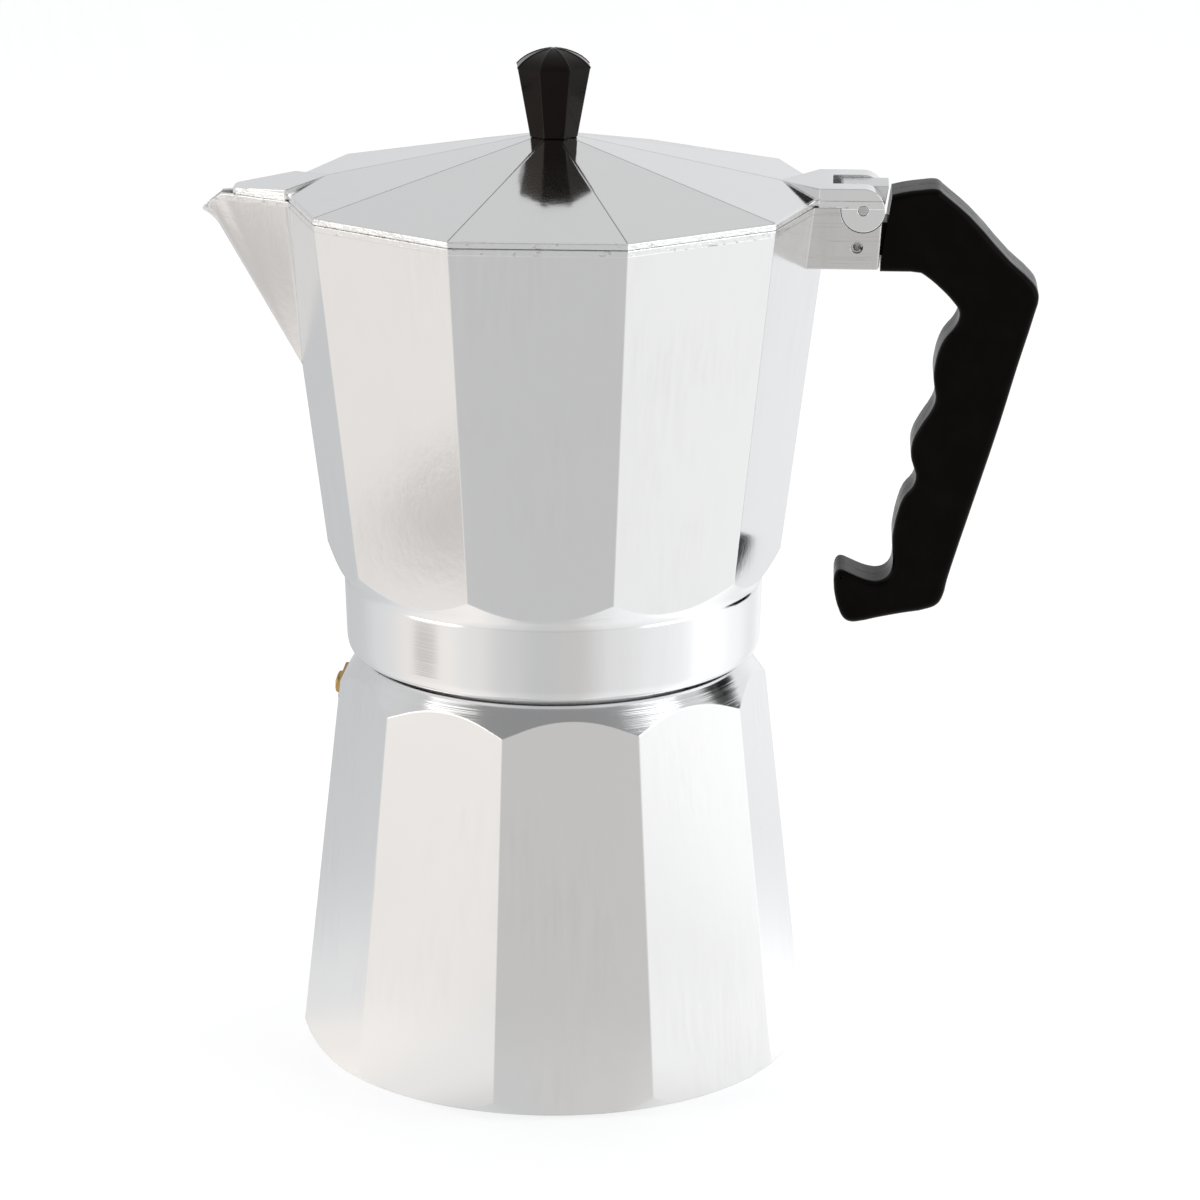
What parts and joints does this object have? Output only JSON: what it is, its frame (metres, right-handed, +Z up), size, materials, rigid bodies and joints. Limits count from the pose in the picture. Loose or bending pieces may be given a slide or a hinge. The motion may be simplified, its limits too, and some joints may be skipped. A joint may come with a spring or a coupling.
{
  "type": "stovetop coffee pot",
  "caption": "Faceted aluminium stovetop coffee pot with boiler, safety valve, funnel, screw-on spouted collector, hinged lid with knob and hooked handle.",
  "frame": {"origin": "centre of the flat base, on the surface the pot stands on", "axes": "+Z up along the pot's turning axis, +X towards the handle, -X towards the spout, +Y completes a right-handed frame"},
  "size_m": [0.2089, 0.1316, 0.2591],
  "materials": {
    "cast_aluminium": "satin polished casting",
    "polished_aluminium": "polished",
    "spun_aluminium": "satin",
    "black_plastic": "semi-gloss moulded",
    "brass": "turned",
    "steel": "plain",
    "white_seal": "matte moulded"
  },
  "bodies": {
    "boiler": {"boiler": "cast_aluminium", "valve_washer": "steel", "valve_body": "brass", "valve_seat": "brass", "valve_spring": "steel"},
    "valve_pin": {"valve_pin": "steel"},
    "funnel": {"funnel_basket": "spun_aluminium", "funnel_stem": "spun_aluminium", "funnel_disc": "spun_aluminium"},
    "seal_pack": {"gasket": "white_seal", "filter_plate": "spun_aluminium"},
    "collector": {"collector": "cast_aluminium", "riser_column": "spun_aluminium", "hinge_pin": "steel", "handle": "black_plastic", "handle_pin": "steel"},
    "lid": {"lid": "polished_aluminium", "lid_knob": "black_plastic", "knob_washer": "steel", "knob_screw": "steel"}
  },
  "joints": [
    {"name": "valve_pin_lift", "type": "slide", "parent": "boiler", "child": "valve_pin", "axis": [-0.9793, 0.1727, 0.1059], "range_m": [0, 0.0015], "stiffness_N_per_m": 400, "springref_m": -0.003, "deforming": ["valve_spring"]},
    {"name": "funnel_lift_out", "type": "slide", "parent": "boiler", "child": "funnel", "axis": [0, 0, 1], "range_m": [0, 0.12]},
    {"name": "collector_rise", "type": "slide", "parent": "funnel", "child": "seal_pack", "axis": [0, 0, 1], "range_m": [0, 0.0105]},
    {"name": "collector_unscrew", "type": "hinge", "parent": "seal_pack", "child": "collector", "pos_m": [0, 0, 0.11], "axis": [0, 0, 1], "range_deg": [0, 1080]},
    {"name": "lid_hinge", "type": "hinge", "parent": "collector", "child": "lid", "pos_m": [0.077, 0, 0.2214], "axis": [0, 1, 0], "range_deg": [0, 105]}
  ],
  "couplings": [
    {"joint": "collector_rise", "follows": "collector_unscrew", "m_per_rad": 0.00055704}
  ]
}
